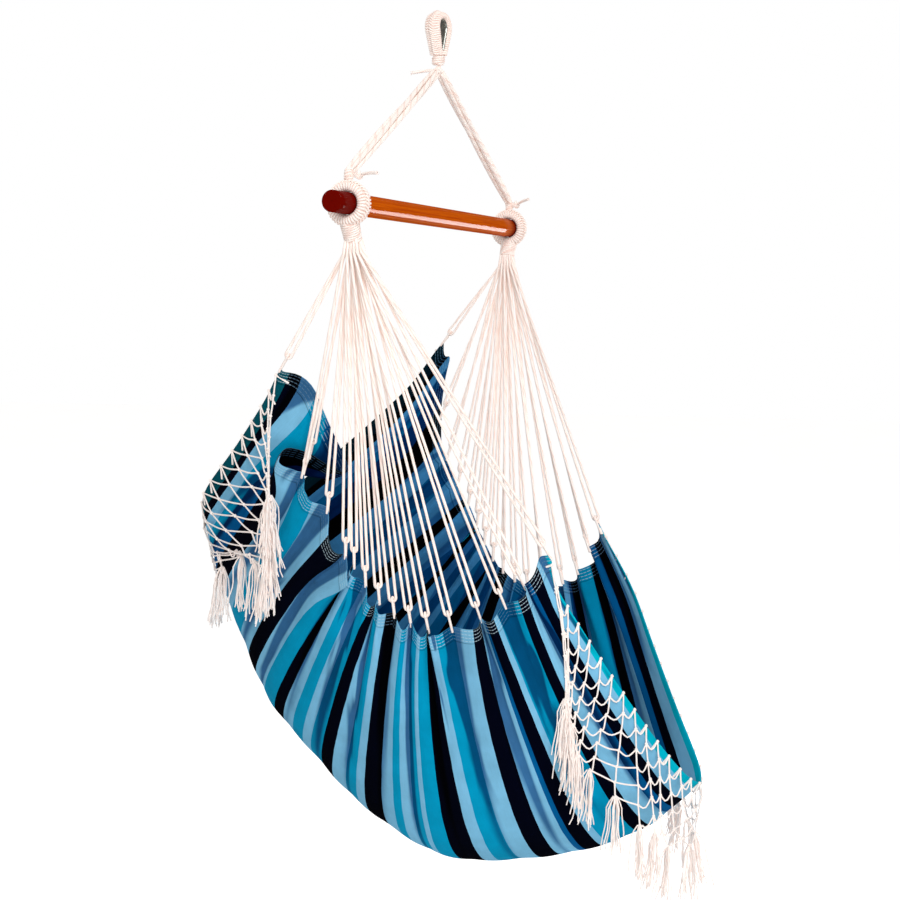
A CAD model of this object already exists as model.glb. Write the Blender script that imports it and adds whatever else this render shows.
# %% [markdown]
# # A striped hammock chair
# A sling of striped cotton hangs from two fans of cord, under a round wooden bar.
# The packed model gives every part its place, and this lesson dresses it. The camera and
# the tools for cords and shaders come first, and then one part after another, from the loose
# tails and the bar down to the cloth and its fringes.

# %% Load the packed chair
import math
import bpy
import numpy as np
from mathutils import Matrix, Vector
from mathutils.bvhtree import BVHTree


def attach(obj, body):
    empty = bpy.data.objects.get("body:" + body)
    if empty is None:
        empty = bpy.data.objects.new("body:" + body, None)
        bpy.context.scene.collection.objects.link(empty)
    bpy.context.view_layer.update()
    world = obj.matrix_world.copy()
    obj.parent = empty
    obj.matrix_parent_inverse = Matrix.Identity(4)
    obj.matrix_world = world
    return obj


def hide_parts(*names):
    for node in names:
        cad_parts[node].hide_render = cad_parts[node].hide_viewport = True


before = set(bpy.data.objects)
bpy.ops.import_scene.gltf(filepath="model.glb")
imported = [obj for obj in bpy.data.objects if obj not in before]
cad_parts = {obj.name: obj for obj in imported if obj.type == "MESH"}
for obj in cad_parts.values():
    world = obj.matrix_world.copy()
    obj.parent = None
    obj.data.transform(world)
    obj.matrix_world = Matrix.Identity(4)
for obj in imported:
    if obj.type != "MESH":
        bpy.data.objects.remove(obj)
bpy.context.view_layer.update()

# %% [markdown]
# ## The camera
# The chair is seen from its left side, a little from the front and a little from above.
# A camera could be aimed by eye. This one was fitted to the bar, its rings and the seat's
# outline, so every piece can be judged in its right place.

# %% Place the camera
EYE = Vector((-2.523, -1.034, -0.488))
HEADING = math.radians(21.891)
TILT = math.radians(4.436)

camera_data = bpy.data.cameras.new("studio_camera")
camera_data.lens, camera_data.sensor_width = 66, 36
camera = bpy.data.objects.new("studio_camera", camera_data)
camera.location = EYE
camera.rotation_euler = (math.pi / 2 - TILT, 0, HEADING - math.pi / 2)
bpy.context.collection.objects.link(camera)
bpy.context.scene.camera = camera
print("the camera looks along heading", round(math.degrees(HEADING), 1), "degrees")

# %% [markdown]
# ## Lines and tubes
# Nearly everything over the seat is cord. Curves with a bevel would do, but a mesh of our own
# can hold many cords in one piece, each with its own tone. A ring of corners is set round each
# point of a line, and neighbouring rings are joined by quads. The map of a tube runs once
# round it, and along it in metres, which is what a twisted cord needs.

# %% Helpers for lines
MM = 0.001
UP = np.array((0.0, 0.0, 1.0))
SIDES = {-1: "left", 1: "right"}


def unit(vectors):
    return vectors / np.maximum(np.linalg.norm(vectors, axis=-1, keepdims=True), 1e-12)


def way_along(line):
    """The way along a line up to each of its points."""
    return np.concatenate([[0], np.cumsum(np.linalg.norm(np.diff(line, axis=0), axis=1))])


def read_rows(at, run, rows):
    """Rows of three numbers, read off at other places of the same run."""
    return np.stack([np.interp(at, run, rows[:, k]) for k in range(3)], 1)


def even_steps(line, count):
    run = way_along(line)
    return read_rows(np.linspace(0, run[-1], count), run, line)


def smooth_line(points, count):
    """A smooth line through a few points, with even steps."""
    p = np.asarray(points, float)
    p = np.vstack([2 * p[0] - p[1], p, 2 * p[-1] - p[-2]])
    t = np.linspace(0, 1, 10, endpoint=False)[:, None]
    parts = []
    for a, b, c, d in zip(p[:-3], p[1:-2], p[2:-1], p[3:]):
        bend = (2 * a - 5 * b + 4 * c - d) * t ** 2 + (3 * b - a - 3 * c + d) * t ** 3
        parts.append((2 * b + (c - a) * t + bend) / 2)
    return even_steps(np.vstack(parts + [p[-2:-1]]), count)


def line_length(line):
    return float(np.linalg.norm(np.diff(line, axis=0), axis=1).sum())


def around_circle(count):
    return np.linspace(0, 2 * np.pi, count, endpoint=False)


metre = np.array(((0.0, 0.0, 0.0), (1.0, 0.0, 0.0)))
print("a metre in five even steps:", even_steps(metre, 6)[:, 0])

# %% A mesh from points and quads
def new_mesh(name, points, quads, maps):
    mesh = bpy.data.meshes.new(name)
    mesh.vertices.add(len(points))
    mesh.vertices.foreach_set("co", points.astype(np.float32).ravel())
    mesh.loops.add(4 * len(quads))
    mesh.loops.foreach_set("vertex_index", quads.astype(np.int32).ravel())
    mesh.polygons.add(len(quads))
    mesh.polygons.foreach_set("loop_start", np.arange(0, 4 * len(quads), 4, dtype=np.int32))
    mesh.polygons.foreach_set("use_smooth", np.ones(len(quads), bool))
    for map_name, values in maps.items():
        layer = mesh.uv_layers.new(name=map_name)
        layer.data.foreach_set("uv", values.astype(np.float32).ravel())
    mesh.update(calc_edges=True)
    return mesh


sample = new_mesh("sample", np.eye(4, 3), np.array([(0, 1, 2, 3)]), {})
print("a mesh of one quad has", len(sample.edges), "edges")
bpy.data.meshes.remove(sample)

# %% Grids of points become one mesh
class Grids:
    """Grids of points, gathered until they are made into one mesh."""

    def __init__(self):
        self.points, self.quads, self.maps, self.tones = [], [], [], []
        self.count = 0

    def grid(self, points, around, along, tone, closed):
        """Joins rings of points. The map is given round a ring and along the rings."""
        rows, sides = points.shape[:2]
        spans = rows if closed else rows - 1
        i = np.arange(spans)[:, None]
        s = np.arange(sides)[None, :]
        j, t = (i + 1) % rows, (s + 1) % sides
        quads = np.stack([i * sides + s, i * sides + t, j * sides + t, j * sides + s], -1)
        u0, u1 = around[s], around[s + 1]
        v0, v1 = along[i], along[i + 1]
        ones = np.ones((spans, sides))
        corners = [(u0, v0), (u1, v0), (u1, v1), (u0, v1)]
        maps = np.stack([np.stack([u * ones, v * ones], -1) for u, v in corners], 2)
        self.quads.append(quads.reshape(-1, 4) + self.count)
        self.maps.append(maps.reshape(-1, 2))
        self.points.append(points.reshape(-1, 3))
        self.tones.append(np.full(rows * sides, tone))
        self.count += rows * sides

    def make(self, name):
        points, quads = np.vstack(self.points), np.vstack(self.quads)
        mesh = new_mesh(name, points, quads, {"Thread": np.vstack(self.maps)})
        tone = mesh.attributes.new("tone", "FLOAT", "POINT")
        tone.data.foreach_set("value", np.concatenate(self.tones))
        return bpy.data.objects.new(name, mesh)


sample = Grids()
sample.grid(np.zeros((3, 4, 3)), np.linspace(0, 1, 5), np.linspace(0, 1, 4), 0.5, False)
print("3 rings of 4 points give", len(sample.quads[0]), "quads")

# %% A bundle of tubes
# The round end of a tube is two more rings: how far out each is, and how wide, in radii
CAP_OUT, CAP_WIDE = np.array((0.3, 0.55)), np.array((0.8, 0.25))


class Bundle(Grids):
    """Any number of cords and cores in one mesh."""

    def tube(self, line, radius, sides=8, closed=False, tone=0.5):
        """A cord along a line. Its rings start on the side that turns least."""
        line = np.asarray(line, float)
        radius = np.broadcast_to(radius, len(line)).astype(float)
        if closed:
            along = unit(np.roll(line, -1, 0) - np.roll(line, 1, 0))
        else:
            along = unit(np.gradient(line, axis=0))
            first = line[0] - along[0] * radius[0] * CAP_OUT[::-1, None]
            last = line[-1] + along[-1] * radius[-1] * CAP_OUT[:, None]
            line = np.vstack([first, line, last])
            along = np.vstack([along[:1], along[:1], along, along[-1:], along[-1:]])
            radius = np.concatenate([radius[0] * CAP_WIDE[::-1], radius, radius[-1] * CAP_WIDE])
        least = np.linalg.svd(along, full_matrices=False)[2][-1]
        side = unit(np.cross(least, along))
        over = np.cross(along, side)
        angle = around_circle(sides)[None, :, None]
        ring = side[:, None] * np.cos(angle) + over[:, None] * np.sin(angle)
        points = line[:, None] + ring * radius[:, None, None]
        steps = np.linalg.norm(np.diff(line, axis=0, append=line[:1]), axis=1)
        run = np.concatenate([[0], np.cumsum(steps)])
        self.grid(points, np.linspace(0, 1, sides + 1), run, tone, closed)

    def oval(self, middles, outward, sideways, half_out, half_side, closed=False, tone=0.3):
        """A core with an oval section of 20 corners."""
        angle = around_circle(20)[None, :, None]
        size_out = np.broadcast_to(half_out, len(middles))[:, None, None]
        size_side = np.broadcast_to(half_side, len(middles))[:, None, None]
        points = middles[:, None] + outward[:, None] * np.cos(angle) * size_out
        points = points + sideways * np.sin(angle) * size_side
        run = np.linspace(0, line_length(middles), len(middles) + 1)
        self.grid(points, np.linspace(0, 1, 21), run, tone, closed)


sample = Bundle()
sample.tube(np.outer(np.arange(10), UP), 2 * MM)
print("a tube of 10 rings has", sample.count, "points with its round ends")

# %% Dress a part
def dress(piece, material, body, *nodes, slot="cotton_cord"):
    """Gives a piece its finish, the body that it rides on and the solids that it stands for."""
    bpy.context.collection.objects.link(piece)
    piece.data.materials.append(material)
    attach(piece, body)
    if nodes:
        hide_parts(*nodes)
    return piece


print("the packed chair has", len(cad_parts), "solids to dress")

# %% [markdown]
# ## Shader sums
# A shader is easier to read as a sum than as a picture of boxes. One small class wraps
# a socket, so that `1 - mask * 0.5` adds the Math nodes by itself. Any other node comes
# from one method, which takes its type, its settings and the values of its sockets.

# %% A wire that can be added and multiplied
def maths_node(operation, swap=False):
    return lambda self, *others: self.maths(operation, others, swap)


class Wire:
    """One socket, which becomes a Math node wherever it stands in a sum."""

    def __init__(self, finish, socket):
        self.finish, self.socket = finish, socket

    def maths(self, operation, others, swap):
        values = (*others, self) if swap else (self, *others)
        sockets = dict(enumerate(values))
        return self.finish.node("ShaderNodeMath", {"operation": operation}, sockets)

    __add__ = __radd__ = maths_node("ADD")
    __mul__ = __rmul__ = maths_node("MULTIPLY")
    __sub__, __rsub__ = maths_node("SUBTRACT"), maths_node("SUBTRACT", swap=True)
    __truediv__, __rtruediv__ = maths_node("DIVIDE"), maths_node("DIVIDE", swap=True)
    __gt__, __lt__ = maths_node("GREATER_THAN"), maths_node("LESS_THAN")
    __abs__, part, sine = maths_node("ABSOLUTE"), maths_node("FRACT"), maths_node("SINE")

    def step(self, low, high):
        """Rises softly from 0 to 1 between two values."""
        sockets = {"Value": self, "From Min": low, "From Max": high}
        return self.finish.node(
            "ShaderNodeMapRange", {"interpolation_type": "SMOOTHSTEP"}, sockets)


reflected = [name for name in vars(Wire) if name.startswith("__r")]
print("a wire knows the reflected sums", reflected)

# %% One method makes every node
class Nodes:
    """The nodes of one material, or of the world."""

    def __init__(self, name, kind="materials"):
        self.holder = getattr(bpy.data, kind).new(name)
        self.holder.use_nodes = True
        self.tree = self.holder.node_tree
        self.tree.nodes.clear()

    def node(self, kind, settings=None, sockets=None, out=0):
        """Makes one node: its settings first, and then the values or links of its sockets."""
        node = self.tree.nodes.new(kind)
        for key, value in (settings or {}).items():
            if key == "stops":
                self.set_stops(node.color_ramp.elements, value)
            elif key == "fade":
                node.color_ramp.interpolation = value
            else:
                setattr(node, key, value)
        for key, value in (sockets or {}).items():
            if isinstance(value, Wire):
                self.tree.links.new(value.socket, node.inputs[key])
            elif isinstance(value, tuple) and len(value) == 3 and node.inputs[key].type == "RGBA":
                node.inputs[key].default_value = (*value, 1)
            else:
                node.inputs[key].default_value = value
        return Wire(self, node.outputs[out]) if node.outputs else None

    @staticmethod
    def set_stops(elements, stops):
        while len(elements) > 1:
            elements.remove(elements[-1])
        elements[0].position = stops[0][0]
        elements[0].color = (*stops[0][1], 1)
        for place, colour in stops[1:]:
            elements.new(place).color = (*colour, 1)

    def mix(self, factor, first, second, how="MIX"):
        settings = {"data_type": "RGBA", "blend_type": how}
        return self.node("ShaderNodeMix", settings, {0: factor, 6: first, 7: second}, out=2)

    def axes(self, vector, count):
        return [self.node("ShaderNodeSeparateXYZ", {}, {0: vector}, out=k) for k in range(count)]

    def vector(self, x, y, z=0.0):
        return self.node("ShaderNodeCombineXYZ", {}, {0: x, 1: y, 2: z})

    def dim(self, colour, by):
        """A colour times another one, or times one number for all three channels."""
        by = self.vector(by, by, by) if isinstance(by, Wire) and by.socket.type == "VALUE" else by
        return self.mix(1.0, colour, by, "MULTIPLY")


print("every finish can use", [name for name in vars(Nodes) if not name.startswith("_")])

# %% The nodes that a finish uses
class Finish(Nodes):
    def map(self, name):
        return self.axes(self.node("ShaderNodeUVMap", {"uv_map": name}), 2)

    def place(self):
        return self.node("ShaderNodeTexCoord", out="Object")

    def ray(self, kind):
        return self.node("ShaderNodeLightPath", out=kind)

    def attribute(self, name):
        return self.node("ShaderNodeAttribute", {"attribute_name": name}, out="Fac")

    def noise(self, where, scale=1.0, detail=2.0, rough=0.5):
        sockets = {"Vector": where, "Scale": scale, "Detail": detail, "Roughness": rough}
        return self.node("ShaderNodeTexNoise", {}, sockets)

    def bump(self, height, distance, strength=1.0, normal=None):
        sockets = {"Height": height, "Distance": distance, "Strength": strength}
        if normal:
            sockets["Normal"] = normal
        return self.node("ShaderNodeBump", {}, sockets)

    def cover(self, **sockets):
        named = {key.replace("_", " "): value for key, value in sockets.items()}
        shader = self.node("ShaderNodeBsdfPrincipled", {}, named)
        self.node("ShaderNodeOutputMaterial", {}, {"Surface": shader})
        return self.holder


print("and also", [name for name in vars(Finish) if not name.startswith("_")])

# %% Colours from a chart
def paint(red, green, blue):
    """Turns the 0 to 255 numbers of a colour chart into the light that a shader works with."""
    shares = [x / 255 for x in (red, green, blue)]
    return tuple(x / 12.92 if x <= 0.04045 else ((x + 0.055) / 1.055) ** 2.4 for x in shares)


print("half way up the chart is a light of", round(paint(128, 128, 128)[0], 3))

# %% [markdown]
# ## Cotton cord
# The cord is raw cotton, softly laid. Its strands could be modelled one by one, at a high
# cost for so many cords, so the shader draws them. They are slanted stripes: the turn round
# the tube plus the way along it, over the length of one lay. The same sum gives the shallow
# hollows between strands, a little pinker, and the bump. A fine noise is the fibre, and
# every cord has its own tone. A faint glow stands for the light that soft cotton passes on.

# %% The cord finish
PLIES = 2


def cord_finish(name, lay, crest, hollow, depth):
    finish = Finish(name)
    around, along = finish.map("Thread")
    tone = finish.attribute("tone")
    strand = abs(((around * PLIES + along * (1 / lay)) * math.pi).sine()).step(0.0, 0.7)
    fibre = finish.noise(finish.vector(around * 5, along * 90, tone * 40))
    smudge = finish.noise(finish.place(), 60)
    body = finish.mix(strand, hollow, crest)
    shade = 0.93 + 0.07 * tone + 0.03 * (fibre - 0.5) + 0.05 * (smudge - 0.5)
    colour = finish.dim(body, shade)
    return finish.cover(
        Base_Color=colour, Roughness=0.84 + 0.1 * fibre, Specular_IOR_Level=0.2,
        Sheen_Weight=0.12, Sheen_Roughness=0.5, Emission_Color=colour, Emission_Strength=0.07,
        Normal=finish.bump(strand + 0.2 * fibre, depth, 0.25))


laid_cord = cord_finish(
    "laid_cotton_cord", 0.032, paint(255, 244, 237), paint(247, 222, 212), 0.2 * MM)
wound_cord = cord_finish(
    "wound_cotton_cord", 0.02, paint(255, 243, 236), paint(240, 206, 194), 0.2 * MM)
soft_strand = cord_finish(
    "soft_cotton_strand", 0.014, paint(255, 246, 241), paint(248, 227, 218), 0.1 * MM)
print("cord finishes:", laid_cord.name, wound_cord.name, soft_strand.name)

# %% [markdown]
# ## Three short tails
# Where a knot is tied, a short end of cord is left over. These ends are the only free cords
# on this chair, so they are made and declared first. A knot could be pulled tight by a
# simulation, but a trefoil curve with a thick cord on it looks just as tied.

# %% The places that the packed model gives
BAR_Z = -0.317
BAR_HALF, BAR_RADIUS, BAR_SHIFT = 0.3925, 0.016, -0.0075
RING_X = 0.342
RING_HOLE, RING_THICK, RING_WIDE = 16.3 * MM, 16 * MM, 30 * MM
WHIPPING, BEND = 7.6 * MM, 9 * MM
PIVOT = np.array((0, 0, -0.0791))


def leg_foot(side):
    """Where the wrapping over each ring starts and ends, and the way its leg leans."""
    foot = np.array((side * RING_X, 0, BAR_Z + RING_HOLE + RING_THICK))
    lean = math.pi / 4
    for _ in range(8):
        end = foot + UP * (WHIPPING + BEND * math.sin(lean))
        end[0] -= side * BEND * (1 - math.cos(lean))
        lean = math.atan2(abs(end[0]), PIVOT[2] - end[2])
    return foot, end, lean


print("the legs lean by", round(math.degrees(leg_foot(1)[2]), 1), "degrees")

# %% A knot and a tail
TAIL_LENGTH, TAIL_DIAMETER = 0.034, 5 * MM
rng = np.random.default_rng(11)


def knot(bundle, middle, radius, thickness, axis):
    """A cord on a trefoil curve, as wide as twice the radius."""
    t = around_circle(60)
    curve = np.stack([np.sin(t) + 2 * np.sin(2 * t), np.cos(t) - 2 * np.cos(2 * t),
                      -1.3 * np.sin(3 * t)], 1)
    axis = unit(np.asarray(axis, float))
    one = unit(np.cross(axis, (0.3, 0.2, 1.0)))
    turn = np.stack([one, np.cross(axis, one), axis])
    bundle.tube(middle + curve * ((radius - thickness) / 3) @ turn, thickness, 8, closed=True)


def make_tail(name, body, start, run):
    """A short free cord with a frayed end, which sags a little."""
    share = np.linspace(0, 1, 18)[:, None]
    line = start + run * share * TAIL_LENGTH - UP * 2 * MM * share ** 2
    tail, ends = Bundle(), Bundle()
    tail.tube(line, TAIL_DIAMETER / 2, 12, tone=0.6)
    tip = line[-1]
    for _ in range(9):
        spread = unit(np.cross(run, rng.normal(size=3))) * MM
        brush = [tip - run * 3 * MM + spread * 1.2, tip + run * MM + spread * 1.9,
                 tip + run * 3.5 * MM + spread * (2.2 + rng.random()) - UP * MM]
        ends.tube(smooth_line(brush, 6), np.linspace(0.7, 0.35, 6) * MM, 5, tone=rng.random())
    piece = dress(tail.make(name + "_cord"), laid_cord, body, name)
    frayed = dress(ends.make(name + "_frayed_end"), soft_strand, body)
    tuple(line[0])
    line_length(line)
    print(name, "is", round(line_length(line) * 1000, 1), "mm long")


print("a tail is", TAIL_LENGTH / MM, "mm of cord,", TAIL_DIAMETER / MM, "mm thick")

# %% The three tails
top_way = unit(np.array((-0.36, 0.92, -0.05)))
make_tail("top_tail", "knot", PIVOT + top_way * 7.8 * MM, top_way)
TAIL_WAYS = {-1: (-0.45, -0.85, 0.05), 1: (-0.62, -0.75, 0.22)}
for side, word in SIDES.items():
    foot, end, _ = leg_foot(side)
    start = (foot + end) / 2 * (1, 0, 1) - (0, 9.3 * MM, 0)
    way = unit(np.array(TAIL_WAYS[side]))
    make_tail(f"{word}_ring_tail", "yoke", start + way * 16.5 * MM, way)
    tied = Bundle()
    knot(tied, start + way * 7.5 * MM, 7.6 * MM, 2.6 * MM, way)
    knot(tied, start + way * 8.5 * MM, 6.4 * MM, 2.6 * MM, way + (0.4, 0.3, 0.5))
    dress(tied.make(f"{word}_ring_tail_knot"), laid_cord, "yoke", f"{word}_ring_tail")

# %% [markdown]
# ## Steel and wood
# The thimble is a plain bent strip of steel, brushed by a fine noise. The bar is a turned
# softwood rod under a glossy stain, much darker and redder at its ends. An image of wood
# would have seams, so noise that is stretched along the bar is the grain, and finer noise
# is the pores. A thin clear coat gives the sharp highlight.

# %% Steel and varnish
def steel_finish():
    finish = Finish("satin_steel")
    where = finish.place()
    brushed = finish.noise(where, 900, 3.0)
    stains = finish.noise(where, 90, 2.0)
    colour = finish.mix(stains, paint(178, 182, 176), paint(214, 216, 210))
    return finish.cover(Base_Color=colour, Metallic=1.0, Roughness=0.22 + 0.2 * brushed,
                        Normal=finish.bump(brushed, 0.05 * MM, 0.5))


def wood_finish():
    finish = Finish("varnished_wood")
    x, y, z = finish.axes(finish.place(), 3)
    grain = finish.noise(finish.vector(x * 6, y * 260, z * 260), 1.0, 4.0, 0.6)
    pores = finish.noise(finish.vector(x * 40, y * 1500, z * 1500))
    broad = finish.noise(finish.vector(x * 3, y * 40, z * 40))
    light = finish.mix(grain.step(0.3, 0.7), paint(184, 68, 0), paint(216, 100, 0))
    light = finish.mix(broad * 0.45, light, paint(154, 52, 0))
    light = finish.mix((pores > 0.66) * 0.35, light, paint(112, 32, 0))
    from_middle = abs(x - BAR_SHIFT)
    dark_end = from_middle.step(0.305, 0.345)
    colour = finish.mix(dark_end * 0.98, light, paint(104, 1, 0))
    worn = from_middle.step(BAR_HALF - 3.5 * MM, BAR_HALF) * pores
    colour = finish.mix(worn * 0.4, colour, paint(60, 6, 2))
    height = 0.5 * grain + 0.3 * pores
    return finish.cover(
        Base_Color=colour, Roughness=0.3 + 0.1 * grain, Specular_IOR_Level=0.0,
        Coat_Weight=0.18 - 0.1 * dark_end, Coat_Roughness=0.07,
        Normal=finish.bump(height, 0.1 * MM, 0.4))


satin_steel = steel_finish()
varnished_wood = wood_finish()
print("hard finishes:", satin_steel.name, "and", varnished_wood.name)

# %% [markdown]
# ## The spreader bar
# The CAD bar has few faces, and a plain cylinder would have sharp ends. A finer bar replaces
# it: a profile with softly rounded ends, turned about the bar's own line.

# %% Turn the bar
ROUNDING, BAR_SIDES = 2 * MM, 64
edge = [(BAR_HALF - ROUNDING * (1 - math.sin(a)), BAR_RADIUS - ROUNDING * (1 - math.cos(a)))
        for a in np.linspace(0, math.pi / 2, 6)]
right_half = [(x, BAR_RADIUS) for x in (0.0, 0.2, 0.38)] + edge
right_half += [(BAR_HALF, r) for r in (0.0125, 0.009, 0.005, 0.0004)]
profile = np.array([(-x, r) for x, r in right_half[:0:-1]] + right_half)
angle = around_circle(BAR_SIDES)
ring = np.stack([np.zeros(BAR_SIDES), np.cos(angle), np.sin(angle)], 1)
stations = np.array((BAR_SHIFT, 0, BAR_Z)) + profile[:, None, :1] * (1, 0, 0)
turned = Bundle()
turned.grid(stations + profile[:, None, 1:] * ring, np.linspace(0, 1, BAR_SIDES + 1),
            np.append(profile[:, 0], 0), 0.5, False)
dress(turned.make("glossy_bar"), varnished_wood, "bar", "spreader_bar", slot="varnished_wood")
print("the bar is", 2 * BAR_HALF, "m long")

# %% [markdown]
# ## Wrapped loop and rings
# The hanging loop and the two rings are bundles of cord, covered with half hitches: turns
# side by side, and a raised row of small crossings on the outer face. A bump could draw them,
# but they show in the outline. So each turn is a closed oval tube, and each crossing is
# a short slanted one, round an oval core.

# %% Wrap a path in half hitches
WRAP, HITCH, HITCH_SPAN = 1.9 * MM, 1.5 * MM, 2.8 * MM


def wrap(bundle, middles, outward, sideways, half_out, half_side, closed, ridge=0.0,
         fullness=1.0):
    """Covers a path with turns of cord. Less fullness makes their section squarer."""
    count = len(middles)
    angle = around_circle(30)[:, None]
    cosine = np.sign(np.cos(angle)) * np.abs(np.cos(angle)) ** fullness
    sine = np.sign(np.sin(angle)) * np.abs(np.sin(angle)) ** fullness
    half_out = np.broadcast_to(half_out, count)
    half_side = np.broadcast_to(half_side, count)
    core = half_out - 1.6 * MM, half_side - 1.6 * MM
    bundle.oval(middles, outward, sideways, *core, closed=closed)
    for i in range(count):
        a, b = half_out[i] - WRAP, half_side[i] - WRAP
        ahead = unit(middles[(i + 1) % count] - middles[i - 1 if i or closed else 0])
        lean = 0.6 * MM * (rng.random() - 0.5)
        loop = middles[i] + outward[i] * cosine * a + sideways * sine * b
        loop = loop + ahead * lean * np.sin(angle)
        bundle.tube(loop, WRAP, 7, closed=True, tone=rng.random())
    for i in range(count if closed else count - 1):
        j = (i + 1) % count
        start, stop = [
            middles[n] + outward[n] * (half_out[n] - 0.6 * MM) + sideways * (ridge + span)
            for n, span in ((i, -HITCH_SPAN), (j, HITCH_SPAN))]
        crest = (start + stop) / 2 + unit(outward[i] + outward[j]) * 1.6 * MM
        bundle.tube(smooth_line([start, crest, stop], 7), HITCH, 7, tone=rng.random())


print("one turn of the wrapping is", 2 * WRAP / MM, "mm thick")

# %% The shape of the loop
EYE_RADIUS, FOOT_DROP, EYE_LENGTH = 11.5 * MM, 55 * MM, 46 * MM
LOOP_TURN = math.radians(82)
loop_side = np.array((math.cos(LOOP_TURN), math.sin(LOOP_TURN), 0))
loop_forward = np.cross(UP, loop_side)
LOOP_MIDDLE, HALF_FOOT = 7.8 * MM, 6.3 * MM
far = math.hypot(HALF_FOOT, FOOT_DROP - EYE_RADIUS)
LEAN = math.asin((EYE_RADIUS + LOOP_MIDDLE) / far) - math.atan2(HALF_FOOT, FOOT_DROP - EYE_RADIUS)


def teardrop(offset, leg, count):
    """Even stations along a teardrop, with the outward direction at each."""
    angles = np.concatenate([[-LEAN] * 20, np.linspace(-LEAN, math.pi + LEAN, 60),
                             [math.pi + LEAN] * 20])[:, None]
    drops = np.concatenate([np.linspace(leg, 0, 20, endpoint=False), np.zeros(60),
                            np.linspace(0, leg, 21)[1:]])[:, None]
    out = loop_forward * np.cos(angles) + UP * np.sin(angles)
    down = loop_forward * np.sin(angles) - UP * np.cos(angles)
    down = np.where(np.cos(angles) < 0, -down, down)
    line = -EYE_RADIUS * UP + out * (EYE_RADIUS + offset) + down * drops
    run = way_along(line)
    at = np.linspace(0, run[-1], count)
    return read_rows(at, run, line), unit(read_rows(at, run, out))


print("the sides of the loop lean by", round(math.degrees(LEAN), 1), "degrees")

# %% The hanging loop and its thimble
LOOP_TURNS = 44
loop_leg = math.sqrt(far ** 2 - (EYE_RADIUS + LOOP_MIDDLE) ** 2) - 4 * MM * math.tan(LEAN)
middles, outward = teardrop(LOOP_MIDDLE, loop_leg, LOOP_TURNS)
number = np.arange(LOOP_TURNS)
taper = 0.86 + 0.14 * np.clip(np.minimum(number, number[::-1]) / 11, 0, 1)
loop = Bundle()
wrap(loop, middles, outward, loop_side, 6.4 * MM * taper, 14 * MM * taper, False, fullness=0.8)
dress(loop.make("wrapped_hanging_loop"), wound_cord, "loop", "hanging_loop")
print("the loop has", LOOP_TURNS, "turns")

thimble_leg = (EYE_LENGTH - EYE_RADIUS * (1 + math.sin(LEAN))) / math.cos(LEAN)
middles, outward = teardrop(0, thimble_leg, 90)
half, tip = 5.2 * MM, 8.9 * MM
section = [(0.0, -half), (0.5 * MM, -half - 1.8 * MM), (1.4 * MM, -tip),
           (2.0 * MM, -tip - 0.2 * MM), (2.6 * MM, -tip), (2.0 * MM, -half - 1.5 * MM),
           (1.5 * MM, -half)]
section = section + [(a, -b) for a, b in section[::-1]]
strip = np.stack([middles + outward * a + loop_side * b for a, b in section], 1)
steel = Bundle()
steel.grid(
    strip, np.linspace(0, 1, len(section) + 1), np.linspace(0, 0.12, 91), 0.5, False)
dress(steel.make("bent_thimble"), satin_steel, "loop", "thimble", slot="steel")
print("the thimble's legs are", round(thimble_leg / MM, 1), "mm long")

# %% The rings round the bar
RING_TURNS = 38
for side, word in SIDES.items():
    angle = around_circle(RING_TURNS)
    outward = np.stack([np.zeros(RING_TURNS), np.cos(angle), np.sin(angle)], 1)
    middles = np.array((side * RING_X, 0, BAR_Z)) + outward * (RING_HOLE + RING_THICK / 2)
    ring = Bundle()
    wrap(ring, middles, outward, np.array((1.0, 0, 0)), RING_THICK / 2, RING_WIDE / 2, True,
         ridge=-4 * MM, fullness=0.7)
    dress(ring.make(f"{word}_wrapped_ring"), wound_cord, "yoke", f"{word}_ring")
print("each ring has", RING_TURNS, "turns")

# %% [markdown]
# ## Whippings and necks
# A whipping is one cord wound tightly round a bundle. Stacked rings would be easier, but
# real turns climb, so each whipping is one long helix. It lies round a darker core, which is
# what shows in the grooves.

# %% Wind a whipping
def whip(bundle, line, radii, pitch, thickness=WRAP):
    """Winds a cord round a short line. The radius goes evenly from the first to the last."""
    fine = even_steps(np.asarray(line, float), 60)
    places = np.linspace(0, 1, 60)
    radius = np.interp(places, (0, 1), radii)
    along = unit(np.gradient(fine, axis=0))
    side = unit(np.cross((0.0, 1.0, 0.0), along))
    over = np.cross(along, side)
    length = line_length(fine)
    turns = max((length - 2 * thickness) / pitch, 1)
    count = int(turns * 26)
    share = np.linspace(thickness / length, 1 - thickness / length, count)
    angle = (share - share[0]) * length / pitch * 2 * np.pi
    reach = (np.interp(share, places, radius) - thickness)[:, None]
    helix = read_rows(share, places, fine)
    helix = helix + read_rows(share, places, side) * (np.cos(angle)[:, None] * reach)
    helix = helix + read_rows(share, places, over) * (np.sin(angle)[:, None] * reach)
    bundle.tube(helix, thickness, 7, tone=rng.random())
    inner = radius - thickness * 1.1
    inner[0] = inner[-1] = 0.1 * MM
    bundle.oval(fine, side, np.array((0.0, 1.0, 0.0)), inner, inner, tone=0.1)


def neck_foot(side):
    """The foot of each neck, which leans towards the chair's middle."""
    return np.array((side * (RING_X - 15 * MM), 0, BAR_Z - 54 * MM))


print("the necks end at", neck_foot(-1).round(3), "and", neck_foot(1).round(3))

# %% The whipping under the loop
band = Bundle()
whip(band, [(0, 0, -71 * MM), (0, 0, -55.6 * MM)], (11 * MM, 11 * MM), 3.7 * MM)
dress(band.make("wound_top_whipping"), wound_cord, "top_band", "top_whipping")
print("the top whipping has", round((15.4 - 2 * WRAP / MM) / 3.7, 1), "turns")

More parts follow.
